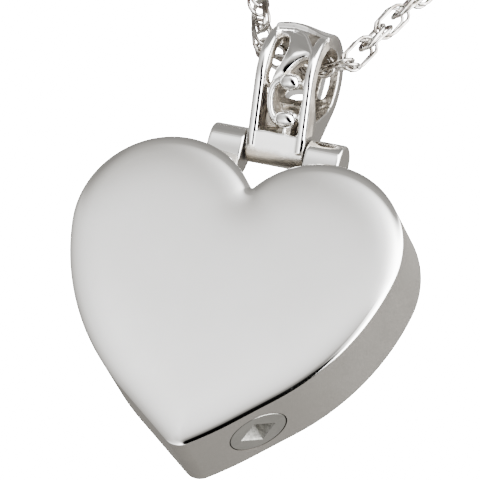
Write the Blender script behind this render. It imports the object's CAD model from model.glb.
"""Keepsake urn pendant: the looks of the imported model, in metres, in the model's own frame."""
import math

import bmesh
import bpy
import numpy as np
from mathutils import Matrix, Vector
from mathutils.geometry import delaunay_2d_cdt


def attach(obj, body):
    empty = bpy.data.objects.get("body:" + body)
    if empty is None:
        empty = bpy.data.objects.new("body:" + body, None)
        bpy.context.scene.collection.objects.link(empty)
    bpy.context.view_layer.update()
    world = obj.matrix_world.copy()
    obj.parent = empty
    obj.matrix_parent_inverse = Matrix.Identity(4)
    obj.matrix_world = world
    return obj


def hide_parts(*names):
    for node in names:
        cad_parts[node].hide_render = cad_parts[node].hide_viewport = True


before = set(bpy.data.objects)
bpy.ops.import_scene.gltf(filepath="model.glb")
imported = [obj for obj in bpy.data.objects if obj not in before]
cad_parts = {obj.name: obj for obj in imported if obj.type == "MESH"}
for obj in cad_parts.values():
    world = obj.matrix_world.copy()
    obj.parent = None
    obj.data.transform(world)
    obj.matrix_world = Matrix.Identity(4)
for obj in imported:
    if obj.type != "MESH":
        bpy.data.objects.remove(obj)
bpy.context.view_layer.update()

MM = 0.001
rad = math.radians

# Sizes of the part in millimetres, and angles in degrees
HEART_W, HEART_T = 20.0, 5.7
LOBE_R, SIDE_R, SIDE_FROM = 5.45, 14.5, 9.5
TIP_DROP, TIP_R, TIP_SHIFT = 16.5, 2.0, 0.35
CLEFT_R = 0.15
PLUG_D, PLUG_LEN, PLUG_AT, PLUG_GAP = 3.5, 2.4, 1.8, 0.05
SOCKET_W, SOCKET_DEEP = 1.45, 0.75
HINGE_RISE, KNUCKLE_D, KNUCKLE_LEN, PIN_SEAT, STONE_DROP = 1.2, 2.1, 2.2, 1.6, 1.95
BARREL_D, PIN_D, PIN_GAP, HINGE_GAP = 1.84, 0.9, 0.05, 0.1
BAIL_W, BAIL_H, BAIL_DEPTH, BAIL_LEAN, BAIL_WALL = 3.6, 4.6, 5.7, 7.0, 0.85
RECESS, FOOT_H, EYE_FOOT_R = 0.25, 2.15, 0.3
CHAIN_D, CHAIN_GAP, SEAT_ANGLE = 1.35, 0.25, 14.0
CLASP_D, CLASP_WIRE, LOOP_D, LOOP_WIRE = 5.4, 1.0, 1.5, 0.5

# Right half of the chain's centre line, from the bail to the clasp at the nape
ROUTE = [
    (0, -28, -102), (1.8, -28, -102), (2.8, -28, -101.4), (3.5, -27.8, -99.6), (5.2, -27.2, -96.2),
    (10, -25.6, -87.3), (20.5, -21.2, -71.5), (36, -16, -47), (52, -10, -23.5), (62.5, -4, -8.5),
    (67, 8, -0.6), (66.5, 25, 2), (58.5, 43, 3.5), (43, 58, 4.5), (23.5, 66.5, 5.5), (3.6, 69, 6),
]


def unit(v):
    """The direction of a vector"""
    v = np.asarray(v, float)
    return v / np.linalg.norm(v)


TOP_R, FOOT_R = BAIL_DEPTH / 2, BARREL_D / 2
FLANK_A = math.asin((TOP_R - FOOT_R) / BAIL_H)
FLANK_LEN = BAIL_H * math.cos(FLANK_A)
BORE_R = TOP_R - BAIL_WALL
SEAT = BORE_R - CHAIN_D / 2 - CHAIN_GAP
LEAN = rad(BAIL_LEAN)
# The hinge's centre hangs from the chain, which lies in the top of the bail's eye
HINGE = np.array(ROUTE[0], float) - np.array([
    0,
    -BAIL_H * math.sin(LEAN) + SEAT * math.sin(rad(SEAT_ANGLE)),
    BAIL_H * math.cos(LEAN) + SEAT * math.cos(rad(SEAT_ANGLE)),
])
LOBE_TOP = HINGE - np.array([0, 0, HINGE_RISE])
HALF_T = HEART_T / 2

# View of the photograph: angles, distance, pixels per millimetre, and the heart's middle in the picture
VIEW_AZ, VIEW_EL, VIEW_ROLL = 19.26, -18.89, 17.5
VIEW_DIST = 450.0
VIEW_SCALE = 17.29
VIEW_CENTRE = (233.68, 294.0)
VIEW_ORIGIN = LOBE_TOP - np.array([0, 0, 8.0])
PICTURE = 480
SENSOR = 36.0


def view_axes():
    """The view's own right, up and back, as directions of the row's frame"""
    az, el, roll = rad(VIEW_AZ), rad(VIEW_EL), rad(VIEW_ROLL)
    right = np.array([math.cos(az), math.sin(az), 0])
    back = np.array([math.sin(az) * math.cos(el), -math.cos(az) * math.cos(el), math.sin(el)])
    up = np.cross(back, right)
    turned_right = math.cos(roll) * right + math.sin(roll) * up
    turned_up = -math.sin(roll) * right + math.cos(roll) * up
    return turned_right, turned_up, back


VIEW_X, VIEW_Y, VIEW_Z = view_axes()


def make_camera():
    """A long lens that sees the pendant as the photograph does"""
    focal = VIEW_SCALE * VIEW_DIST
    right_of_centre = (PICTURE / 2 - VIEW_CENTRE[0]) / focal
    above_centre = (VIEW_CENTRE[1] - PICTURE / 2) / focal
    z = unit(VIEW_Z - right_of_centre * VIEW_X - above_centre * VIEW_Y)
    x = unit(VIEW_X - z * (VIEW_X @ z))
    y = np.cross(z, x)
    place = (VIEW_ORIGIN + VIEW_DIST * VIEW_Z) * MM
    data = bpy.data.cameras.new("camera")
    data.sensor_width = SENSOR
    data.lens = focal / PICTURE * SENSOR
    data.clip_start = 0.01
    data.clip_end = 10
    camera = bpy.data.objects.new("camera", data)
    camera.matrix_world = Matrix([[x[i], y[i], z[i], place[i]] for i in range(3)] + [[0, 0, 0, 1]])
    bpy.context.scene.collection.objects.link(camera)
    bpy.context.scene.camera = camera


make_camera()


def mesh_object(name, verts, faces, materials, smooth=True):
    """An object from points in millimetres"""
    mesh = bpy.data.meshes.new(name)
    mesh.from_pydata((np.asarray(verts, float) * MM).tolist(), [], [list(map(int, f)) for f in faces])
    for m in materials:
        mesh.materials.append(m)
    mesh.polygons.foreach_set("use_smooth", [smooth] * len(mesh.polygons))
    mesh.update()
    obj = bpy.data.objects.new(name, mesh)
    bpy.context.scene.collection.objects.link(obj)
    return obj


def grid_faces(rows, n, closed=False):
    """Quads between rows of n points that go round; closed joins the last row to the first"""
    faces = []
    for j in range(rows if closed else rows - 1):
        ahead = (j + 1) % rows
        for i in range(n):
            k = (i + 1) % n
            faces.append((j * n + i, j * n + k, ahead * n + k, ahead * n + i))
    return faces


def edit_mesh(obj, change):
    """Run a change on an object's mesh in its editable form"""
    bm = bmesh.new()
    bm.from_mesh(obj.data)
    change(bm)
    bm.to_mesh(obj.data)
    bm.free()


def set_sharp(obj, angle):
    """Edges that bend more than angle degrees shade as creases"""
    def change(bm):
        for e in bm.edges:
            if len(e.link_faces) == 2:
                e.smooth = e.calc_face_angle(0) < rad(angle)

    edit_mesh(obj, change)


def carve(obj, tool):
    """Cut a tool out of an object, with the tool's materials on the cut"""
    mod = obj.modifiers.new("cut", "BOOLEAN")
    mod.object = tool
    mod.operation = "DIFFERENCE"
    mod.solver = "EXACT"
    mod.material_mode = "TRANSFER"
    graph = bpy.context.evaluated_depsgraph_get()
    mesh = bpy.data.meshes.new_from_object(obj.evaluated_get(graph))
    obj.modifiers.clear()
    obj.data = mesh
    bpy.data.objects.remove(tool)


class Nodes:
    """A short way to wire shader nodes"""

    def __init__(self, owner):
        self.owner = owner
        self.tree = owner.node_tree
        self.tree.nodes.clear()

    def add(self, kind, **values):
        node = self.tree.nodes.new("ShaderNode" + kind)
        for key, value in values.items():
            setattr(node, key, value)
        return node

    def put(self, socket, value):
        if isinstance(value, bpy.types.NodeSocket):
            self.tree.links.new(value, socket)
        elif value is not None:
            socket.default_value = value

    def math(self, operation, a, b):
        node = self.add("Math", operation=operation)
        self.put(node.inputs[0], a)
        self.put(node.inputs[1], b)
        return node.outputs[0]

    def mul(self, a, b):
        return self.math("MULTIPLY", a, b)

    def plus(self, a, b):
        return self.math("ADD", a, b)

    def rest(self, a):
        return self.math("SUBTRACT", 1, a)

    def mix(self, factor, a, b):
        node = self.add("Mix", data_type="RGBA")
        self.put(node.inputs[0], factor)
        self.put(node.inputs[6], a)
        self.put(node.inputs[7], b)
        return node.outputs[2]

    def span(self, value, low, high, to_low=0.0, to_high=1.0, smooth=True):
        """A value carried from one range to another, and held at its ends"""
        node = self.add("MapRange")
        if smooth:
            node.interpolation_type = "SMOOTHSTEP"
        self.put(node.inputs[0], value)
        for i, v in enumerate((low, high, to_low, to_high)):
            self.put(node.inputs[i + 1], v)
        return node.outputs[0]

    def noise(self, scale, detail=3.0, rough=0.5, stretch=None):
        place = self.add("TexCoord").outputs["Object"]
        if stretch:
            turn = self.add("Mapping")
            self.put(turn.inputs[0], place)
            self.put(turn.inputs["Scale"], stretch)
            place = turn.outputs[0]
        node = self.add("TexNoise")
        self.put(node.inputs["Vector"], place)
        self.put(node.inputs["Scale"], scale)
        self.put(node.inputs["Detail"], detail)
        self.put(node.inputs["Roughness"], rough)
        return node.outputs[0]

    def attribute(self, name):
        return self.add("Attribute", attribute_name=name).outputs["Fac"]

    def bump(self, height, strength, distance):
        node = self.add("Bump")
        self.put(node.inputs["Strength"], strength)
        self.put(node.inputs["Distance"], distance)
        self.put(node.inputs["Height"], height)
        return node.outputs[0]

    def finish(self, colour, roughness, normal=None, metallic=0.0):
        """Give the material its surface"""
        node = self.add("BsdfPrincipled")
        self.put(node.inputs["Metallic"], metallic)
        self.put(node.inputs["Base Color"], colour)
        self.put(node.inputs["Roughness"], roughness)
        self.put(node.inputs["Normal"], normal)
        out = self.add("OutputMaterial")
        self.put(out.inputs[0], node.outputs[0])
        return self.owner

    def metal(self, colour, roughness, normal=None):
        return self.finish(colour, roughness, normal, 1.0)


def material(name):
    mat = bpy.data.materials.new(name)
    mat.use_nodes = True
    return Nodes(mat)


# Colours of the metal: polished, sanded, darkened in the recesses, and the plug's
SILVER = (0.93, 0.925, 0.91, 1)
GREY_SILVER = (0.36, 0.343, 0.315, 1)
DARK_SILVER = (0.26, 0.235, 0.2, 1)
PLUG_GREY = (0.345, 0.34, 0.318, 1)


def polished_silver():
    """Mirror finish with faint buffing marks"""
    n = material("polished_silver")
    haze = n.noise(180, 4, 0.6)
    scratch = n.noise(2600, 2, 0.5, (1.0, 1.0, 0.06))
    colour = n.mix(n.span(haze, 0.35, 0.7), SILVER, (0.9, 0.893, 0.875, 1))
    rough = n.plus(n.span(haze, 0.3, 0.75, 0.05, 0.085), n.span(scratch, 0.6, 0.8, 0.0, 0.03))
    return n.metal(colour, rough, n.bump(haze, 0.08, 0.00002))


def satin_silver():
    """Fine sanded finish of the side wall"""
    n = material("satin_silver")
    cloud = n.noise(260, 4, 0.6)
    grain = n.noise(9000, 3, 0.6)
    colour = n.mix(n.span(cloud, 0.3, 0.7), GREY_SILVER, (0.315, 0.3, 0.275, 1))
    rough = n.plus(n.span(cloud, 0.25, 0.75, 0.42, 0.5), n.span(grain, 0.3, 0.7, -0.04, 0.05))
    return n.metal(colour, rough, n.bump(grain, 0.6, 0.00001))


def cast_silver():
    """Polished where it was reached, satin on the flat sides, dark and rough in the recesses"""
    n = material("cast_silver")
    patina = n.attribute("patina")
    satin = n.attribute("satin")
    pits = n.noise(2200, 4, 0.65)
    stain = n.noise(900, 3, 0.6)
    dark = n.mix(n.span(stain, 0.35, 0.7), DARK_SILVER, (0.52, 0.48, 0.42, 1))
    worn = n.span(n.plus(patina, n.mul(n.math("SUBTRACT", stain, 0.5), 0.5)), 0.3, 0.75)
    colour = n.mix(worn, n.mix(satin, SILVER, GREY_SILVER), dark)
    rough = n.plus(n.plus(0.07, n.mul(satin, 0.27)), n.mul(worn, 0.3))
    depth = n.mul(pits, n.plus(0.015, patina))
    return n.metal(colour, rough, n.bump(depth, 0.6, 0.00004))


def chain_silver():
    """Bright drawn wire, darker where the links rub and collect dirt"""
    n = material("chain_silver")
    grime = n.noise(1400, 3, 0.6)
    colour = n.mix(n.span(grime, 0.35, 0.65), (0.64, 0.62, 0.59, 1), (0.2, 0.175, 0.15, 1))
    return n.metal(colour, n.span(grime, 0.3, 0.8, 0.1, 0.26), n.bump(grime, 0.1, 0.00002))


def plug_silver():
    """Grey machined face of the screw plug"""
    n = material("plug_silver")
    cloud = n.noise(700, 4, 0.6)
    grain = n.noise(7000, 3, 0.6)
    colour = n.mix(n.span(cloud, 0.3, 0.7), PLUG_GREY, (0.275, 0.271, 0.25, 1))
    rough = n.plus(n.span(cloud, 0.25, 0.75, 0.3, 0.4), n.span(grain, 0.3, 0.7, -0.03, 0.04))
    return n.metal(colour, rough, n.bump(grain, 0.4, 0.00001))


def socket_silver():
    """Pitted metal of the plug's punched socket"""
    n = material("socket_silver")
    pits = n.noise(3500, 4, 0.7)
    colour = n.mix(n.span(pits, 0.35, 0.65), PLUG_GREY, (0.2, 0.197, 0.182, 1))
    return n.metal(colour, 0.62, n.bump(pits, 0.8, 0.00005))


def dark_bore():
    """Unpolished metal inside the plug's bore"""
    n = material("dark_bore")
    stain = n.noise(1500, 3, 0.6)
    colour = n.mix(stain, (0.03, 0.027, 0.024, 1), (0.09, 0.08, 0.07, 1))
    return n.metal(colour, n.span(stain, 0.2, 0.8, 0.45, 0.6))


M_FACE = polished_silver()
M_SIDE = satin_silver()
M_CAST = cast_silver()
M_CHAIN = chain_silver()
M_PLUG = plug_silver()
M_SOCKET = socket_silver()
M_BORE = dark_bore()


# Heart: outline in its own flat plane, with the lobe tops at y = 0
LOBE_C = np.array([HEART_W / 2 - LOBE_R, -LOBE_R])
SIDE_C = LOBE_C + (LOBE_R - SIDE_R) * np.array([math.cos(rad(SIDE_FROM)), -math.sin(rad(SIDE_FROM))])
CLEFT_C = np.array([0, LOBE_C[1] + math.sqrt((LOBE_R + CLEFT_R) ** 2 - LOBE_C[0] ** 2)])
CLEFT_A = math.degrees(math.atan2(CLEFT_C[1] - LOBE_C[1], -LOBE_C[0]))


def flank_normal(centre, r):
    """Direction out of the flank that runs from the side's arc to a tip circle, in degrees"""
    run = SIDE_C - centre
    return math.degrees(math.atan2(run[1], run[0]) - math.acos((r - SIDE_R) / np.linalg.norm(run)))


def polar(centre, r, a):
    """The point at radius r and a degrees about a centre"""
    return np.asarray(centre) + r * np.array([math.cos(rad(a)), math.sin(rad(a))])


def arc(centre, r, start, stop, steps):
    """Points of an arc without its last one"""
    return [polar(centre, r, start + (stop - start) * i / steps) for i in range(steps)]


# The right flank carries the plug, and bends below it to a tip that is a little sharper than the solid's
POINT_R, POINT_X = 1.1, 0.3
BEND_AT, BEND_A = 2.8, -55.0
# Fineness of the outline, times which half_outline counts its steps
FINE = 3
FLANK_N = flank_normal(np.array([TIP_SHIFT, -TIP_DROP]), TIP_R)
FLANK_DOWN = np.array([math.sin(rad(FLANK_N)), -math.cos(rad(FLANK_N))])
BEND_FROM = polar(SIDE_C, SIDE_R, FLANK_N) + BEND_AT * FLANK_DOWN
BEND_SPAN = BEND_FROM[0] - POINT_X - POINT_R * math.cos(rad(BEND_A))
BEND_R = BEND_SPAN / (math.cos(rad(FLANK_N)) - math.cos(rad(BEND_A)))
BEND_C = polar(BEND_FROM, -BEND_R, FLANK_N)
POINT_C = polar(BEND_C, BEND_R - POINT_R, BEND_A)


def half_outline(side, inset):
    """One half, mirrored to the right where side is -1, from the cleft to the tip"""
    point = POINT_C * [side, 1]
    if side > 0:
        a = FLANK_N
        low = polar(BEND_FROM, -inset, a)
        bend = arc(BEND_C, BEND_R - inset, a, BEND_A, 8 * FINE)
        turn_from = BEND_A
    else:
        a = flank_normal(point, POINT_R)
        low = polar(point, POINT_R - inset, a)
        bend = []
        turn_from = a
    top = polar(SIDE_C, SIDE_R - inset, a)
    flank_steps = 6 * FINE
    flank = [top + (low - top) * i / flank_steps for i in range(flank_steps)]
    return (
        arc(CLEFT_C, CLEFT_R + inset, -90, CLEFT_A - 180, 4 * FINE)
        + arc(LOBE_C, LOBE_R - inset, CLEFT_A, -SIDE_FROM, 30 * FINE)
        + arc(SIDE_C, SIDE_R - inset, -SIDE_FROM, a, 12 * FINE)
        + flank
        + bend
        + arc(point, POINT_R - inset, turn_from, -90, 6 * FINE)
        + [polar(point, POINT_R - inset, -90)]
    )


def outline(inset):
    """The heart's outline moved inwards, from the cleft down the right side and back up the left"""
    left = half_outline(-1, inset)[1:-1]
    return np.array(half_outline(1, inset) + [p * [-1, 1] for p in reversed(left)])


PLUG_DIR = np.array([math.cos(rad(FLANK_N)), 0, math.sin(rad(FLANK_N))])
PLUG_2D = polar(SIDE_C, SIDE_R, FLANK_N) + PLUG_AT * FLANK_DOWN
PLUG_FACE = LOBE_TOP + np.array([PLUG_2D[0], 0, PLUG_2D[1]])


def upright(points, depth):
    """Flat heart points and depths behind the front face's plane, to the row's frame"""
    points = np.asarray(points)
    return np.column_stack([
        LOBE_TOP[0] + points[:, 0],
        np.full(len(points), LOBE_TOP[1]) + depth,
        LOBE_TOP[2] + points[:, 1],
    ])


# The face falls away in a long crown and a short round, and meets the wall in a crisp corner
CROWN_SLOPE, CROWN_LEN = 0.11, 1.1
ROUND_SLOPE, ROUND_LEN = 0.65, 0.18
CORNER, CORNER_DROP = 0.02, 0.02
# Rings of faces run round the edge from here outwards, and a grid of points fills the middle
RING_FROM, RING_STEPS = 1.0, 14
FACE_STEP = 0.32
WALL_ROWS = 4
# Points closer than this are welded, edges that bend more are creases, and faces so near the flank are flat
WELD, HEART_CREASE, FLAT_ENOUGH = 0.002, 24, 0.99999


def face_drop(d):
    """How far the face lies below its middle, at d millimetres from the edge"""
    d = np.asarray(d, float)
    return CROWN_SLOPE * CROWN_LEN * np.exp(-d / CROWN_LEN) + ROUND_SLOPE * ROUND_LEN * np.exp(-d / ROUND_LEN)


def heart_rings():
    """Distance from the edge and drop of each ring round the face, from the inner one outwards"""
    rings = []
    for i in range(RING_STEPS + 1):
        d = CORNER + (RING_FROM - CORNER) * (1 - i / RING_STEPS) ** 2
        rings.append((d, float(face_drop(d))))
    rings.append((0, float(face_drop(CORNER)) + CORNER_DROP))
    return rings


def line_distance(points, line):
    """Distance from flat points to an open line"""
    best = np.full(len(points), 1e9)
    for a, b in zip(line[:-1], line[1:]):
        ab = b - a
        ap = points - a
        t = np.clip(ap @ ab / (ab @ ab), 0, 1)
        best = np.minimum(best, np.hypot(*(ap - t[:, None] * ab).T))
    return best


def edge_distance(points, border):
    """Distance from flat points to a closed border"""
    return line_distance(points, np.concatenate([border, border[:1]]))


def inside(points, border):
    """Which flat points lie inside a closed border"""
    x, y = points[:, 0], points[:, 1]
    odd = np.zeros(len(points), bool)
    for p, q in zip(border, np.roll(border, -1, axis=0)):
        cross = (p[1] > y) != (q[1] > y)
        at = p[0] + (y - p[1]) * (q[0] - p[0]) / (q[1] - p[1] + 1e-12)
        odd ^= cross & (x < at)
    return odd


def face_grid(inner):
    """Points and triangles that fill the face inside a border, and the border point of each, if any"""
    low, high = inner.min(0), inner.max(0)
    xs = np.arange(low[0], high[0], FACE_STEP)
    ys = np.arange(low[1], high[1], FACE_STEP * math.sqrt(3) / 2)
    grid = np.array([(x + (j % 2) * FACE_STEP / 2, y) for j, y in enumerate(ys) for x in xs])
    grid = grid[inside(grid, inner)]
    grid = grid[edge_distance(grid, inner) > FACE_STEP / 2]
    points = [Vector(p) for p in np.concatenate([inner, grid])]
    border = [(k, (k + 1) % len(inner)) for k in range(len(inner))]
    flat, _, tris, origin, _, _ = delaunay_2d_cdt(points, border, [], 1, 1e-6)
    return np.array([tuple(p) for p in flat]), tris, origin


def make_heart():
    """The hollow heart's shell: two domed faces, a satin wall and the plug's bore"""
    rings = heart_rings()
    m = len(outline(0))
    columns = []
    for d, drop in rings:
        columns.append(upright(outline(d), -HALF_T + drop))
    wall_low = -HALF_T + rings[-1][1]
    for row in range(1, WALL_ROWS):
        columns.append(upright(outline(0), wall_low * (1 - 2 * row / WALL_ROWS)))
    for d, drop in reversed(rings):
        columns.append(upright(outline(d), HALF_T - drop))
    verts = list(np.concatenate(columns))
    faces = grid_faces(len(columns), m)
    around = len(rings) - 1
    slots = [0] * around * m + [1] * WALL_ROWS * m + [0] * around * m
    inner = outline(RING_FROM)
    flat, tris, origin = face_grid(inner)
    depth = face_drop(RING_FROM + edge_distance(flat, inner))
    for sign, ring in ((-1, 0), (1, (len(columns) - 1) * m)):
        base = len(verts)
        verts += list(upright(flat, sign * (HALF_T - depth)))
        index = [ring + min(o) if o and min(o) < m else base + i for i, o in enumerate(origin)]
        for t in tris:
            loop = [index[i] for i in t]
            faces.append(loop if sign < 0 else loop[::-1])
            slots.append(0)
    heart = mesh_object("heart_shell", verts, faces, [M_FACE, M_SIDE, M_BORE])
    heart.data.polygons.foreach_set("material_index", slots)

    def close(bm):
        bmesh.ops.delete(bm, geom=[v for v in bm.verts if not v.link_faces], context="VERTS")
        bmesh.ops.recalc_face_normals(bm, faces=bm.faces)

    def weld(bm):
        bmesh.ops.remove_doubles(bm, verts=bm.verts, dist=WELD * MM)

    edit_mesh(heart, close)
    cut_plug_bore(heart)
    edit_mesh(heart, weld)
    set_sharp(heart, HEART_CREASE)
    # The flat flank round the bore shades flat, so that the cut leaves no streaks on it
    for f in heart.data.polygons:
        if f.normal.dot(Vector(PLUG_DIR)) > FLAT_ENOUGH:
            f.use_smooth = False
    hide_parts("heart")
    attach(heart, "heart")


# Directions across the plug's axis, and steps round it
PLUG_U = np.array([0, 1.0, 0])
PLUG_V = np.cross(PLUG_DIR, PLUG_U)
PLUG_STEPS = 96


def turned(profile):
    """A lathe shape about the plug's axis: profile holds each radius and its height over the plug's face"""
    n = PLUG_STEPS
    verts = []
    for r, h in profile:
        for i in range(n):
            a = 2 * math.pi * i / n
            verts.append(PLUG_FACE + PLUG_DIR * h + r * (math.cos(a) * PLUG_U + math.sin(a) * PLUG_V))
    faces = grid_faces(len(profile), n)
    faces.append(list(reversed(range(n))))
    faces.append([(len(profile) - 1) * n + i for i in range(n)])
    return verts, faces


# Bevel of the bore's mouth, and how far the bore goes on below the plug and its tool above the wall
BORE_BEVEL, BORE_REST, BORE_OVER = (0.015, 0.02), 0.9, 0.4


def cut_plug_bore(heart):
    r = PLUG_D / 2 + PLUG_GAP
    wide = r + BORE_BEVEL[0]
    profile = [(r, -PLUG_LEN - BORE_REST), (r, -BORE_BEVEL[1]), (wide, 0), (wide, BORE_OVER)]
    verts, faces = turned(profile)
    tool = mesh_object("bore_tool", verts, faces, [M_BORE])
    carve(heart, tool)


def smooth_max(a, b, k):
    """The larger of two fields, rounded over a width k where they meet"""
    h = np.maximum(k - np.abs(a - b), 0) / k
    return np.maximum(a, b) + h * h * k / 4


def smooth_min(a, b, k):
    return -smooth_max(-a, -b, k)


def surface_net(field, axes):
    """Mesh of a field that is negative inside the metal: a vertex to each cell that it crosses, and quads"""
    shape = np.array(field.shape)
    cells = shape - 1
    negative = field < 0
    total = np.zeros((int(np.prod(cells)), 3), np.float32)
    count = np.zeros(int(np.prod(cells)), np.int32)
    quads = []
    stride = np.array([cells[1] * cells[2], cells[2], 1])
    for axis in range(3):
        near = [slice(None)] * 3
        far = [slice(None)] * 3
        near[axis] = slice(0, -1)
        far[axis] = slice(1, None)
        flips = negative[tuple(near)] != negative[tuple(far)]
        at = np.argwhere(flips)
        f0 = field[tuple(near)][flips]
        f1 = field[tuple(far)][flips]
        t = f0 / (f0 - f1)
        place = at.astype(np.float32)
        place[:, axis] += t
        others = [i for i in range(3) if i != axis]
        ids = []
        for du, dv in ((0, 0), (-1, 0), (-1, -1), (0, -1)):
            cell = at.copy()
            cell[:, others[0]] += du
            cell[:, others[1]] += dv
            cell = np.clip(cell, 0, cells - 1)
            index = cell @ stride
            np.add.at(total, index, place)
            np.add.at(count, index, 1)
            ids.append(index)
        ids = np.stack(ids, 1)
        flip = (f0 > f1) ^ (axis == 1)
        ids[flip] = ids[flip][:, ::-1]
        quads.append(ids)
    quads = np.concatenate(quads)
    used = np.unique(quads)
    lookup = np.full(len(count), -1)
    lookup[used] = np.arange(len(used))
    grid = total[used] / count[used][:, None]
    points = np.stack([np.interp(grid[:, i], np.arange(shape[i]), axes[i]) for i in range(3)], 1)
    return points, lookup[quads]


# Rounds of evening out, and the share of the way to the neighbours' mean, there and back
RELAX_ROUNDS = 6
RELAX_SHARES = (0.5, -0.52)


def relaxed(points, quads):
    """Points evened out among their neighbours, without shrinking"""
    ends = np.concatenate([quads[:, [i, (i + 1) % 4]] for i in range(4)])
    ends = np.concatenate([ends, ends[:, ::-1]])
    count = np.bincount(ends[:, 0], minlength=len(points))[:, None]
    for _ in range(RELAX_ROUNDS):
        for share in RELAX_SHARES:
            near = points[ends[:, 1]]
            mean = np.stack([np.bincount(ends[:, 0], near[:, i], len(points)) for i in range(3)], 1)
            points = points + share * (mean / count - points)
    return points


def block(*sides):
    """Axes of a block of points, and x, y and z over it, from each side's ends and its steps to spare"""
    step = FIELD_STEP
    ax = [np.arange(a - below * step, b + (above + 0.1) * step, step) for a, b, below, above in sides]
    y, z = np.meshgrid(ax[1], ax[2], indexing="ij")
    return ax, ax[0][:, None, None], y, z


def field_mesh(field, axes):
    points, quads = surface_net(field.astype(np.float32), axes)
    return relaxed(points, quads), quads


def capsule2(a, b, low, r_low, r_high, height):
    """Distance to two circles and their tangents, the lower one at (0, low)"""
    a = np.abs(a)
    b = b - low
    s = (r_low - r_high) / height
    c = math.sqrt(1 - s * s)
    k = -s * a + c * b
    side = c * a + s * b - r_low
    upper = np.where(k > c * height, np.hypot(a, b - height) - r_high, side)
    return np.where(k < 0, np.hypot(a, b) - r_low, upper)


def catmull(points, steps, closed):
    """A smooth curve through its points"""
    p = np.asarray(points, float)
    if not closed:
        p = np.concatenate([[2 * p[0] - p[1]], p, [2 * p[-1] - p[-2]]])
    n = len(p)
    spans = range(n) if closed else range(1, n - 2)
    out = []
    for i in spans:
        a, b, c, d = (p[(i + j) % n] for j in (-1, 0, 1, 2))
        for t in np.arange(steps) / steps:
            out.append(0.5 * (2 * b + (c - a) * t + (2 * a - 5 * b + 4 * c - d) * t * t
                              + (3 * b - a - 3 * c + d) * t**3))
    if not closed:
        out.append(p[-2])
    return np.array(out)


# Openwork of the bail's front: x across, s up its front from the barrel, in millimetres
SLOT = [
    (-1.11, 7.03), (-1.06, 7.43), (-0.92, 7.65), (-0.64, 7.55), (-0.42, 7.18), (-0.28, 6.58),
    (-0.28, 5.98), (-0.38, 5.43), (-0.57, 4.93), (-0.7, 4.48), (-0.81, 4.08), (-0.99, 3.98), (-1.1, 4.43),
    (-1.06, 5.33),
]
SIDE = [
    (1.19, 5.91), (1.26, 5.53), (1.27, 4.93), (1.22, 4.53), (1.05, 4.57), (0.81, 4.81), (0.53, 4.88),
    (0.27, 4.83), (0.42, 5.21), (0.68, 5.59), (0.95, 5.83),
]
MIDDLE = [
    (-0.34, 3.78), (-0.11, 3.95), (0.14, 3.81), (0.44, 3.77), (0.81, 3.88), (1.09, 4.07), (1.23, 4.09),
    (1.29, 3.73), (1.3, 3.23), (1.21, 2.73), (1.09, 2.53), (0.87, 2.59), (0.52, 2.69), (0.15, 2.59),
    (-0.1, 2.35), (-0.26, 2.39), (-0.38, 2.73), (-0.46, 3.13), (-0.47, 3.53),
]
STRIP = [
    (-1.11, 3.73), (-0.99, 3.79), (-0.91, 3.33), (-0.91, 2.73), (-0.8, 2.28), (-0.54, 1.88),
    (-0.17, 1.59), (0.03, 1.39), (-0.46, 1.31), (-1.04, 1.25), (-1.15, 1.53), (-1.13, 2.53),
]
CORNER_HOLE = [
    (1.04, 2.09), (1.18, 2.17), (1.26, 1.93), (1.27, 1.33), (0.82, 1.26), (0.79, 1.48), (0.91, 1.78),
]
BACK_SLOT = [
    (0.8, 4.8), (0.95, 4.65), (1.12, 4.8), (1.2, 5.5), (1.22, 6.4), (1.18, 7), (1, 7.2), (0.85, 6.9),
    (0.78, 6), (0.76, 5.3),
]
BACK_LOW = [
    (-0.04, 5.03), (-0.02, 4.43), (-0.2, 4.21), (-1, 4.21), (-1.12, 4.53), (-0.99, 4.93), (-0.49, 5.13),
]
LEAF = [
    (-1.14, 7.98), (-0.64, 8.12), (-0.18, 8.15), (0.39, 7.78), (0.75, 7.27), (1.12, 6.71), (1.39, 6.33),
    (1.35, 6.08), (0.99, 6.05), (0.7, 5.85), (0.47, 5.56), (0.25, 5.2), (0.06, 4.83), (-0.2, 4.55),
    (-0.6, 4.23), (-0.72, 4.33), (-0.61, 4.83), (-0.38, 5.43), (-0.27, 5.98), (-0.27, 6.58),
    (-0.42, 7.23), (-0.66, 7.63), (-1.02, 7.75),
]
SCROLL = [
    (-0.15, 4.38), (-0.48, 4.07), (-0.63, 3.73), (-0.68, 3.33), (-0.66, 2.93), (-0.56, 2.53),
    (-0.39, 2.18), (-0.14, 1.93), (0.17, 1.73),
]
WEBS = [
    [(0.87, 2.43), (1.06, 2.33), (1.31, 2.33)],
    [(0.9, 4.33), (1.1, 4.33), (1.35, 4.27)],
    [(0.35, 1.73), (0.4, 1.43), (0.39, 1.13)],
]
ARCH = [
    (-1.44, 7.68), (-1.14, 7.95), (-0.64, 8.12), (-0.18, 8.17), (0.39, 7.78), (0.75, 7.27), (1.12, 6.71),
    (1.36, 6.33), (1.63, 5.93),
]
CREST = [
    (-1.62, 8.68), (-0.62, 8.78), (0.18, 8.73), (0.77, 8.53), (1.33, 8.13), (1.66, 7.93), (1.96, 7.83),
]
PLATE = [
    (-1.76, 1.13), (-1.03, 1.18), (-0.73, 1.24), (-0.36, 1.22), (0.08, 1.19), (0.57, 1.24), (0.88, 1.17),
    (1.31, 1.2), (1.56, 1.17), (1.84, 1.11),
]
# Columns: x, s, half width, half height and half depth of each bead
BEADS = [(0.41, 4.3, 0.58, 0.5, 0.32), (0.41, 2.07, 0.62, 0.5, 0.32)]
BEAD_SINK = 0.07
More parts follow.
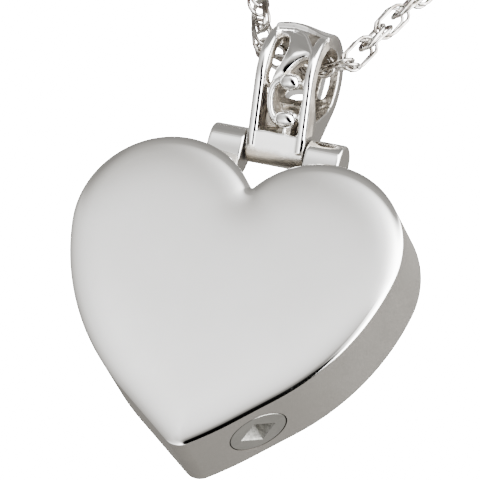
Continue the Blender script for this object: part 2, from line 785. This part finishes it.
# Rails: place of their middle, half width, height of their top, its depth to their edges, and where the
# left and the right one end. The left one narrows from a height, over a length, by a share
RAIL_X, RAIL_HALF, RAIL_TOP, RAIL_DEPTH = 1.48, 0.32, 0.05, 0.24
RAIL_TIPS = (8.2, 7.55)
NARROW_FROM, NARROW_OVER, NARROW_BY, NARROW_OUT = 7.1, 1.3, 0.6, 0.12
# Steps of the front's own grid, and of the blocks in which the cast pieces are formed
FRONT_STEP, FIELD_STEP = 0.03, 0.05
# How deep the front's forms and the openings reach, and the stretches of s that they keep to
FRONT_DEEP, FRONT_END, HOLES_END = 1.25, 12.4, 8.3
BACK_RANGE = (2, 9)


def bail_grid():
    xs = np.arange(-1.95, 1.96, FRONT_STEP)
    ss = np.arange(0, 12.6, FRONT_STEP)
    gx, gs = np.meshgrid(xs, ss, indexing="ij")
    return xs, ss, gx, gs


def hole_field(loops, gx, gs):
    """Distance outside the nearest of these openings, negative in them"""
    flat = np.column_stack([gx.ravel(), gs.ravel()])
    best = np.full(len(flat), 9.0)
    for points in loops:
        loop = catmull(points, 5, True)
        d = edge_distance(flat, loop)
        best = np.minimum(best, np.where(inside(flat, loop), -d, d))
    return best.reshape(gx.shape)


def bail_front():
    """Height of the front over the plain band, its openings, and how deep it lies in patina"""
    xs, ss, gx, gs = bail_grid()
    flat = np.column_stack([gx.ravel(), gs.ravel()])

    def along(points):
        return line_distance(flat, catmull(points, 6, False)).reshape(gx.shape)

    def bar(distance, half, top, depth):
        """A rounded bar: top at its middle, depth lower at its edge, then falling away"""
        t = np.clip(distance / half, 0, 1)
        return top - depth * (1 - np.sqrt(1 - t * t)) - np.maximum(distance - half, 0) * 4

    hole = hole_field([SLOT, SIDE, MIDDLE, STRIP, CORNER_HOLE], gx, gs)
    leaf_d = -hole_field([LEAF], gx, gs)
    leaf = -0.12 + 0.13 * (1 - np.exp(-np.maximum(leaf_d, 0) / 0.3)) + np.minimum(leaf_d, 0) * 4
    top = np.maximum(np.full(gx.shape, -RECESS), leaf)
    top = smooth_max(top, bar(along(SCROLL), 0.18, 0.0, 0.15), 0.05)
    for web in WEBS:
        top = smooth_max(top, bar(along(web), 0.09, -0.12, 0.07), 0.04)
    arch_s = np.interp(gx, *np.array(ARCH).T)
    crest_s = np.interp(gx, *np.array(CREST).T)
    swell = 0.34 * np.exp(-(((gx + 0.6) / 1.4) ** 2)) - 0.03
    rise = np.clip((gs - 8.2) / 0.8, 0, 1) * np.clip((12.2 - gs) / 2.2, 0, 1)
    crest = np.clip((gs - crest_s) * 3, -RECESS, 0) + swell * rise * rise * (3 - 2 * rise)
    top = np.where(gs > arch_s, np.maximum(-0.15 - 0.08 * (gx > 0.4), crest), top)
    top = smooth_max(top, bar(along(ARCH), 0.075, 0.03, 0.06), 0.03)
    left = gx < 0
    tip = np.maximum(gs - np.where(left, RAIL_TIPS[0], RAIL_TIPS[1]), 0)
    taper = np.where(left, np.clip((gs - NARROW_FROM) / NARROW_OVER, 0, 1), 0)
    across = (np.abs(gx) - RAIL_X - NARROW_OUT * taper) / (1 - NARROW_BY * taper)
    rail = bar(np.hypot(across, tip), RAIL_HALF, RAIL_TOP, RAIL_DEPTH)
    rail_end = np.clip((9.2 - gs) / 0.5, 0, 1)
    top = smooth_max(top, rail * rail_end - (1 - rail_end), 0.04)
    plate = np.clip((np.interp(gx, *np.array(PLATE).T) - gs) * 3, -RECESS, 0)
    top = np.maximum(np.maximum(top, plate), -RECESS)
    top = np.where(gs < 0.2, 0, top)
    floor = np.clip((-0.13 - top) / 0.06, 0, 1)
    return top, hole, floor


def front_place(a, b):
    """Distance s up the bail's front and height h over it, for a point beside its middle plane"""
    na, nb = -math.cos(FLANK_A), -math.sin(FLANK_A)
    ta, tb = -math.sin(FLANK_A), math.cos(FLANK_A)
    s = a * ta + b * tb
    h = a * na + b * nb - FOOT_R
    out = a * na + (b - BAIL_H) * nb
    along = a * ta + (b - BAIL_H) * tb
    turn = np.arctan2(along, out)
    turn = np.where(turn < -0.2, math.pi, turn)
    curved = s > FLANK_LEN
    s = np.where(curved, FLANK_LEN + TOP_R * turn, s)
    h = np.where(curved, np.hypot(out, along) - TOP_R, h)
    return s, h


def front_frame(s):
    """Directions out of and up the front, and the point on its surface, at distance s"""
    turn = max(0, s - FLANK_LEN) / TOP_R - FLANK_A
    out = np.array([-math.cos(turn), math.sin(turn)])
    along = np.array([math.sin(turn), math.cos(turn)])
    if s > FLANK_LEN:
        return out, along, np.array([0, BAIL_H]) + TOP_R * out
    return out, along, FOOT_R * out + s * along


def bail_eye(a, b):
    """Distance to the eye's bore in the bail's middle plane"""
    return capsule2(a, b, FOOT_H + EYE_FOOT_R, EYE_FOOT_R, BORE_R, BAIL_H - FOOT_H - EYE_FOOT_R)


# Widths over which the bail's sides, openings, eye and beads round into the rest
SIDE_ROUND, HOLE_ROUND, EYE_ROUND, BEAD_ROUND = 0.14, 0.1, 0.12, 0.05
# Roughness of the eye: height and cell of each layer of noise
EYE_NOISE = ((0.04, 5), (0.025, 2))


def make_bail():
    """The cast bail: band, relief and openings of its front, eye, beads and the pin's bore"""
    side = BAIL_W / 2
    ax, x3, a2, b2 = block((-side, side, 2, 2), (-TOP_R, TOP_R, 3, 3), (-FOOT_R, BAIL_H + TOP_R, 3, 3))
    xs, ss, gx, gs = bail_grid()
    relief, hole, floor = bail_front()
    back_hole = hole_field([BACK_SLOT, BACK_LOW], gx, gs)
    outer = capsule2(a2, b2, 0, FOOT_R, TOP_R, BAIL_H)
    inner = bail_eye(a2, b2)

    def spread(grid, s2):
        """Values of a front grid at every point of the block"""
        row = np.clip(s2 / (ss[1] - ss[0]), 0, len(ss) - 2)
        i0 = row.astype(int)
        part = (row - i0).astype(np.float32)
        rows = np.array([np.interp(ax[0], xs, grid[:, j]) for j in range(len(ss))]).T.astype(np.float32)
        return rows[:, i0] * (1 - part) + rows[:, i0 + 1] * part

    s2, h2 = front_place(a2, b2)
    back_s, back_h = front_place(-a2, b2)
    front = (h2 > -FRONT_DEEP) & (s2 > 0) & (s2 < FRONT_END)
    back = (back_h > -FRONT_DEEP) & (back_s > BACK_RANGE[0]) & (back_s < BACK_RANGE[1])
    shape = [len(v) for v in ax]
    rng = np.random.default_rng(4)
    rough = sum(height * lattice_noise(rng, shape, cell) for height, cell in EYE_NOISE)
    field = outer[None] - np.where(front, spread(relief, s2), 0)
    field = smooth_max(field, np.abs(x3) - side, SIDE_ROUND)
    field = smooth_max(field, np.where(front & (s2 < HOLES_END), -spread(hole, s2), -9), HOLE_ROUND)
    field = smooth_max(field, np.where(back, -spread(back_hole, back_s), -9), HOLE_ROUND)
    field = smooth_max(field, -inner[None] + rough, EYE_ROUND)
    for x, s, half_x, half_s, half_h in BEADS:
        out, along, place = front_frame(s)
        place = place - BEAD_SINK * out
        u = (a2 - place[0]) * along[0] + (b2 - place[1]) * along[1]
        w = (a2 - place[0]) * out[0] + (b2 - place[1]) * out[1]
        ball = np.sqrt(((x3 - x) / half_x) ** 2 + ((u / half_s) ** 2 + (w / half_h) ** 2)[None])
        field = smooth_min(field, (ball - 1) * half_h, BEAD_ROUND)
    field = np.maximum(field, (PIN_D / 2 + PIN_GAP - np.hypot(a2, b2))[None])
    points, quads = field_mesh(field, ax)
    patina, satin = bail_finish(points, floor, xs, ss)
    place = np.column_stack([
        HINGE[0] + points[:, 0],
        HINGE[1] + points[:, 1] * math.cos(LEAN) - points[:, 2] * math.sin(LEAN),
        HINGE[2] + points[:, 1] * math.sin(LEAN) + points[:, 2] * math.cos(LEAN),
    ])
    bail = mesh_object("bail_band", place, quads, [M_CAST])
    paint(bail, "patina", patina)
    paint(bail, "satin", satin)
    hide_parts("bail")
    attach(bail, "bail")


def bail_finish(points, floor, xs, ss):
    """How dark and how satin each point of the bail is"""
    s, h = front_place(points[:, 1], points[:, 2])
    x = points[:, 0]
    bore = bail_eye(points[:, 1], points[:, 2])
    is_front = (h > -FRONT_DEEP) & (s > 0.5) & (s < FRONT_END)
    col = np.clip(np.round(s / (ss[1] - ss[0])).astype(int), 0, len(ss) - 1)
    row = np.clip(np.round((x - xs[0]) / (xs[1] - xs[0])).astype(int), 0, len(xs) - 1)
    patina = np.where(is_front, floor[row, col] * 0.8, 0)
    for bx, bs, half_x, half_s, _ in BEADS:
        on_bead = ((x - bx) / half_x) ** 2 + ((s - bs) / half_s) ** 2 < 1
        patina = np.where(on_bead & (h > -0.3), 0, patina)
    inward = np.abs(x) < BAIL_W / 2 - 0.06
    patina = np.maximum(patina, np.clip((-0.3 - h) / 0.15, 0, 1) * is_front * inward)
    patina = np.maximum(patina, np.clip(1 - bore / 0.12, 0, 1) * inward)
    barrel = np.clip((0.25 - points[:, 2]) / 0.7, 0, 1) * inward
    patina = np.maximum(patina, 0.62 * barrel)
    satin = np.clip((np.abs(x) - BAIL_W / 2 + 0.05) / 0.04, 0, 1)
    return patina, satin


def paint(obj, name, values):
    """Give each point a value for its material"""
    layer = obj.data.attributes.new(name, "FLOAT", "POINT")
    layer.data.foreach_set("value", np.asarray(values, np.float32))


def lattice_noise(rng, shape, cell):
    """Smooth random values between -1 and 1, with cells of the given number of steps"""
    coarse = rng.uniform(-1, 1, [n // cell + 2 for n in shape]).astype(np.float32)
    for axis, n in enumerate(shape):
        t = np.arange(n) / cell
        i = t.astype(int)
        f = t - i
        f = f * f * (3 - 2 * f)
        f = f.reshape([-1 if k == axis else 1 for k in range(3)]).astype(np.float32)
        coarse = np.take(coarse, i, axis) * (1 - f) + np.take(coarse, i + 1, axis) * f
    return coarse


# How far the knuckles reach below the lobe tops, and the rounds of their inner and outer ends
KNUCKLE_FOOT, INNER_ROUND, OUTER_ROUND = 1.3, 0.14, 0.2
# The solder starts a little inside the lobe, fills a fillet and stands out from the knuckle at most so far
SOLDER_SINK, SOLDER_FILLET, SOLDER_OUT = 0.03, 0.3, 0.22


def make_knuckles():
    """Hinge knuckles with flat satin ends, soldered to the lobes with a small fillet"""
    r = KNUCKLE_D / 2
    x0 = BAIL_W / 2 + HINGE_GAP
    x1 = x0 + KNUCKLE_LEN
    drop = HINGE_RISE + KNUCKLE_FOOT
    ax, x3, a2, b2 = block((x0, x1, 3, 8), (-r, r, 8, 8), (-drop, r, 3, 3))
    stone = np.where(b2 > 0, np.hypot(a2, b2) - r, (np.hypot(a2 / r, b2 / STONE_DROP) - 1) * r)[None]
    body = smooth_max(smooth_max(stone, x0 - x3, INNER_ROUND), x3 - x1, OUTER_ROUND)
    lobe = np.hypot(x3 - LOBE_C[0], b2[None] + HINGE_RISE + LOBE_R) - LOBE_R + SOLDER_SINK
    joined = np.maximum(smooth_min(body, lobe, SOLDER_FILLET), body - SOLDER_OUT)
    field = np.maximum(joined, -b2[None] - drop)
    bore = (PIN_D / 2 + PIN_GAP - np.hypot(a2, b2))[None]
    field = np.maximum(field, np.minimum(bore, x0 + PIN_SEAT - x3))
    points, quads = field_mesh(field, ax)
    both = np.concatenate([points, points * [-1, 1, 1]])
    faces = np.concatenate([quads, quads[:, ::-1] + len(points)])
    obj = mesh_object("hinge_knuckles", both + HINGE, faces, [M_CAST])
    reach = np.abs(both[:, 0])
    paint(obj, "satin", np.clip((reach - x1 + 0.05) / 0.04, 0, 1) + np.clip((x0 + 0.05 - reach) / 0.04, 0, 1))
    over = np.hypot(reach - LOBE_C[0], both[:, 2] + HINGE_RISE + LOBE_R) - LOBE_R
    paint(obj, "patina", 0.7 * np.clip(1 - over / 0.32, 0, 1))
    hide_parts("heart")
    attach(obj, "heart")


# Head of the plug: how far it lies inside its size, its bevel and its height; and the thread below it
HEAD_IN, HEAD_BEVEL, HEAD_H = 0.01, 0.02, 0.45
THREAD_FROM, THREAD_PITCH, THREAD_DEEP = 0.55, 0.3, 0.14
# The socket's tool: height over the face and width as a share of the socket's, from its floor outwards
SOCKET_STEPS = ((-SOCKET_DEEP, 0.7), (-0.08, 1.0), (0.2, 1.35))
PLUG_CREASE = 25


def make_plug():
    """The screw plug with rings for its thread and a square socket for the key"""
    r = PLUG_D / 2 - HEAD_IN
    root = r - THREAD_DEEP
    profile = [(r - HEAD_BEVEL, 0), (r, -HEAD_BEVEL), (r, -HEAD_H), (root, -THREAD_FROM)]
    h = -THREAD_FROM
    while h - THREAD_PITCH > -PLUG_LEN + 0.1:
        profile += [(root, h - 0.06), (r - 0.02, h - 0.15), (root, h - 0.24)]
        h -= THREAD_PITCH
    profile += [(root, -PLUG_LEN + 0.05), (r - 0.3, -PLUG_LEN)]
    verts, faces = turned(profile[::-1])
    plug = mesh_object("screw_plug_body", verts, faces, [M_PLUG])
    corners = []
    for depth, grow in SOCKET_STEPS:
        reach = SOCKET_W / math.sqrt(2) * grow
        for a in range(4):
            across = math.cos(math.pi / 2 * a) * PLUG_U + math.sin(math.pi / 2 * a) * PLUG_V
            corners.append(PLUG_FACE + PLUG_DIR * depth + reach * across)
    quads = [(3, 2, 1, 0), (8, 9, 10, 11)]
    quads += [(j + i, j + (i + 1) % 4, j + 4 + (i + 1) % 4, j + 4 + i) for j in (0, 4) for i in range(4)]
    tool = mesh_object("socket_tool", corners, quads, [M_SOCKET], smooth=False)
    carve(plug, tool)
    set_sharp(plug, PLUG_CREASE)
    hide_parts("screw_plug")
    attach(plug, "plug")


# Steps of the chain's line between two points of its route
ROUTE_STEPS = 24


def chain_line():
    """Centre line of the whole chain, from one end at the clasp to the other"""
    def at(i):
        if i < 0:
            return np.array(ROUTE[-i]) * [-1, 1, 1]
        if i >= len(ROUTE):
            last = len(ROUTE) - 1
            return 2 * np.array(ROUTE[last], float) - np.array(ROUTE[2 * last - i])
        return np.array(ROUTE[i], float)

    half = []
    for i in range(len(ROUTE) - 1):
        a, b, c, d = at(i - 1), at(i), at(i + 1), at(i + 2)
        for t in np.arange(ROUTE_STEPS) / ROUTE_STEPS:
            half.append(((1 - t) ** 3 * a + (3 * t**3 - 6 * t * t + 4) * b
                         + (-3 * t**3 + 3 * t * t + 3 * t + 1) * c + t**3 * d) / 6)
    half.append(at(len(ROUTE) - 1))
    half = np.array(half)
    return np.concatenate([half[:0:-1] * [-1, 1, 1], half])


# Links lie in pairs: size of one, distance between pairs, how a pair's two lie apart along and across the
# chain, and how they turn and tilt, with a random share, in degrees
LINK_LEN, LINK_W, LINK_WIRE = 2.3, 1.48, 0.23
LINK_PITCH = 1.4
PAIR_SHIFT, PAIR_GAP, PAIR_TILT, PAIR_SWAY = 0.14, 0.125, 5, 2
LINK_TURN, LINK_SWAY = 20, 8
LINK_STEPS, WIRE_STEPS = 14, 6
LOOK_AHEAD = 0.4


def oval_link():
    """One oval link in the plane of x and y, long in x"""
    r = LINK_WIRE / 2
    bend = (LINK_W - LINK_WIRE) / 2
    straight = (LINK_LEN - LINK_WIRE) / 2 - bend
    centre = []
    for i in range(LINK_STEPS):
        a = 2 * math.pi * (i + 0.5) / LINK_STEPS
        c, s = math.cos(a), math.sin(a)
        centre.append((bend * c + math.copysign(straight, c), bend * s, 0))
    centre = np.array(centre)
    verts = []
    for i in range(LINK_STEPS):
        along = unit(centre[(i + 1) % LINK_STEPS] - centre[i - 1])
        out = np.cross(along, (0, 0, 1))
        for k in range(WIRE_STEPS):
            a = 2 * math.pi * k / WIRE_STEPS
            verts.append(centre[i] + r * (math.cos(a) * out + math.sin(a) * np.array([0, 0, 1])))
    return np.array(verts), np.array(grid_faces(LINK_STEPS, WIRE_STEPS, True))[:, [0, 3, 2, 1]]


def make_chain():
    """Pairs of oval links along the whole centre line, each pair a quarter turn from the last"""
    line = chain_line()
    length = np.concatenate([[0], np.cumsum(np.linalg.norm(np.diff(line, axis=0), axis=1))])
    count = int(round(length[-1] / LINK_PITCH))
    pitch = length[-1] / count
    link, link_faces = oval_link()
    rng = np.random.default_rng(11)
    verts = []
    faces = []

    def at(s):
        return np.array([np.interp(s, length, line[:, k]) for k in range(3)])

    for i in range(count):
        s = (i + 0.5) * pitch
        place = at(s)
        along = unit(at(s + LOOK_AHEAD) - at(s - LOOK_AHEAD))
        side = unit(np.cross(along, (0, -0.6, 0.8)))
        up = np.cross(side, along)
        turn = rad(90 * (i % 2) + LINK_TURN + rng.uniform(-LINK_SWAY, LINK_SWAY))
        u = math.cos(turn) * side + math.sin(turn) * up
        w = np.cross(along, u)
        for pair in (-1, 1):
            tilt = rad(pair * PAIR_TILT + rng.uniform(-PAIR_SWAY, PAIR_SWAY))
            a = math.cos(tilt) * along + math.sin(tilt) * w
            n = np.cross(a, u)
            centre = place + pair * (PAIR_GAP * w + PAIR_SHIFT * along)
            block = centre + link[:, :1] * a + link[:, 1:2] * u + link[:, 2:] * n
            faces.append(link_faces + len(verts) * len(link))
            verts.append(block)
    obj = mesh_object("chain_links", np.concatenate(verts), np.concatenate(faces), [M_CHAIN])
    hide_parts("chain")
    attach(obj, "necklace")


def torus(outer, wire, centre, steps, sides):
    """A ring in the plane of x and z"""
    verts = []
    big = (outer - wire) / 2
    for i in range(steps):
        a = 2 * math.pi * i / steps
        for k in range(sides):
            b = 2 * math.pi * k / sides
            r = big + wire / 2 * math.cos(b)
            place = (r * math.cos(a), wire / 2 * math.sin(b), r * math.sin(a))
            verts.append(tuple(centre[j] + place[j] for j in range(3)))
    return verts, grid_faces(steps, sides, True)


def make_clasp():
    """The ring clasp at the nape with a closed loop at each side"""
    end = np.array(ROUTE[-1], float)
    loop_x = end[0] - PIN_GAP - LOOP_D / 2
    verts, faces = torus(CLASP_D, CLASP_WIRE, (0, end[1], end[2]), 64, 16)
    for side in (-1, 1):
        more, quads = torus(LOOP_D, LOOP_WIRE, (side * loop_x, end[1], end[2]), 32, 12)
        faces += [tuple(i + len(verts) for i in q) for q in quads]
        verts += more
    clasp = mesh_object("ring_clasp", verts, faces, [M_CHAIN])
    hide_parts("clasp")
    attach(clasp, "necklace")


def dress_pin():
    """The solid pin itself, in the wall's metal"""
    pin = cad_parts["hinge_pin"]
    pin.data.materials.clear()
    pin.data.materials.append(M_SIDE)


# Brightness of the tent by height and by side, as the view stands: place from -1 to 1, level
TENT_BY_HEIGHT = [
    (-1, 0.3), (-0.75, 0.35), (-0.6, 1.1), (-0.45, 4.5), (-0.3, 7), (0, 3.4), (0.28, 2.8), (0.6, 2.8),
    (0.67, 2.5), (0.688, 2.2), (0.698, 1.95), (0.708, 1.7), (0.7155, 1.5), (0.728, 1.2), (0.7467, 0.97),
    (0.76, 0.85), (0.784, 0.7), (0.83, 0.53), (0.95, 0.37), (1, 0.3),
]
TENT_BY_SIDE = [
    (-1, 0.12), (-0.93, 0.22), (-0.85, 0.3), (-0.738, 0.37), (-0.645, 0.46), (-0.586, 0.54),
    (-0.545, 0.6), (-0.504, 0.71), (-0.482, 0.8), (-0.453, 0.93), (-0.425, 1), (1, 1),
]
# Dark places in the tent round the lens: direction, full and fading radius in degrees, share taken away
TENT_HOLES = [
    ((-0.02, -0.03, 1), 14, 22, 1), ((0, -0.2, 0.98), 12, 19, 1), ((0.12, -0.36, 0.92), 11, 18, 1),
    ((0.33, -0.41, 0.85), 11, 17, 1), ((-0.1, 0.17, 0.98), 6, 26, 0.8), ((-0.22, 0.38, 0.9), 4, 28, 0.6),
]
TENT_BEHIND = [
    (-1, 0.85), (-0.7, 0.75), (-0.1, 0.52), (0.5, 0.6), (0.8, 0.33), (1, 0.33),
]
# Strength of the white box at the right of the tent, and of the backdrop that the camera sees
BOX_LEVEL, BACKDROP_LEVEL = 12, 25.0


def make_world():
    """A light tent as the metal sees it: a white box at the right, dark round the lens, dim behind"""
    world = bpy.data.worlds.new("tent")
    bpy.context.scene.world = world
    world.use_nodes = True
    n = Nodes(world)
    direction = n.add("TexCoord").outputs["Generated"]

    def along(vector):
        node = n.add("VectorMath", operation="DOT_PRODUCT")
        n.put(node.inputs[0], direction)
        n.put(node.inputs[1], tuple(map(float, vector)))
        return node.outputs["Value"]

    def toward(vector, inner, outer):
        """1 within inner degrees of a direction, 0 beyond outer degrees"""
        fixed = unit(vector[0] * VIEW_X + vector[1] * VIEW_Y + vector[2] * VIEW_Z)
        return n.span(along(fixed), math.cos(rad(outer)), math.cos(rad(inner)))

    def curve(value, stops, peak):
        """A value read from stops over -1 to 1, cubed so that a wide range fits in a ramp"""
        ramp = n.add("ValToRGB")
        elements = ramp.color_ramp.elements
        for place, _ in stops[1:-1]:
            elements.new((place + 1) / 2)
        for element, (place, level) in zip(elements, stops):
            element.position = (place + 1) / 2
            grey = (level / peak) ** (1 / 3)
            element.color = (grey, grey, grey, 1)
        n.put(ramp.inputs[0], n.span(value, -1, 1, smooth=False))
        return n.mul(n.math("POWER", ramp.outputs[0], 3.0), peak)

    x, y, z = along(VIEW_X), along(VIEW_Y), along(VIEW_Z)
    level = curve(y, TENT_BY_HEIGHT, 8.0)
    level = n.mul(level, curve(x, TENT_BY_SIDE, 1.0))
    # The box lies right of a slanted edge and below its top, and its lower left corner is cut away
    box = n.math("SUBTRACT", n.plus(x, n.mul(y, 0.55)), 0.28)
    high = n.span(n.plus(y, n.mul(x, 0.5)), 0.5, 0.57)
    edge = n.math("MAXIMUM", high, n.span(x, -0.07, 0.01))
    white = n.mul(n.span(box, -0.2535, 0.045), n.span(y, 0.85, 0.7))
    white = n.mul(white, edge)
    level = n.plus(level, n.mul(white, BOX_LEVEL))
    for place, inner, outer, dim in TENT_HOLES:
        taken = n.mul(toward(place, inner, outer), dim)
        level = n.mul(level, n.rest(taken))
    behind = curve(y, TENT_BEHIND, 1.0)
    blend = n.span(z, -0.15, 0.25)
    behind = n.mul(behind, n.rest(blend))
    level = n.plus(n.mul(level, blend), behind)
    tint = n.mix(n.span(level, 0.2, 2.0), (1.03, 1.0, 0.95, 1), (1, 1, 1, 1))
    light = n.add("Background")
    n.put(light.inputs[0], tint)
    n.put(light.inputs[1], level)
    plain = n.add("Background")
    n.put(plain.inputs[0], (1, 1, 1, 1))
    n.put(plain.inputs[1], BACKDROP_LEVEL)
    choose = n.add("MixShader")
    n.put(choose.inputs[0], n.add("LightPath").outputs["Is Camera Ray"])
    n.put(choose.inputs[1], light.outputs[0])
    n.put(choose.inputs[2], plain.outputs[0])
    out = n.add("OutputWorld")
    n.put(out.inputs[0], choose.outputs[0])


def make_floor():
    """A plain pale floor well below the pendant"""
    size = 900
    low = -400
    corners = [(-size, -size, low), (size, -size, low), (size, size, low), (-size, size, low)]
    n = material("pale_floor")
    pale = n.finish(n.mix(n.noise(6, 3), (0.86, 0.86, 0.85, 1), (0.9, 0.9, 0.89, 1)), 0.8)
    floor = mesh_object("floor", corners, [(0, 1, 2, 3)], [pale], smooth=False)
    floor.visible_glossy = False


make_heart()
make_knuckles()
make_plug()
make_bail()
make_chain()
make_clasp()
dress_pin()
make_world()
make_floor()
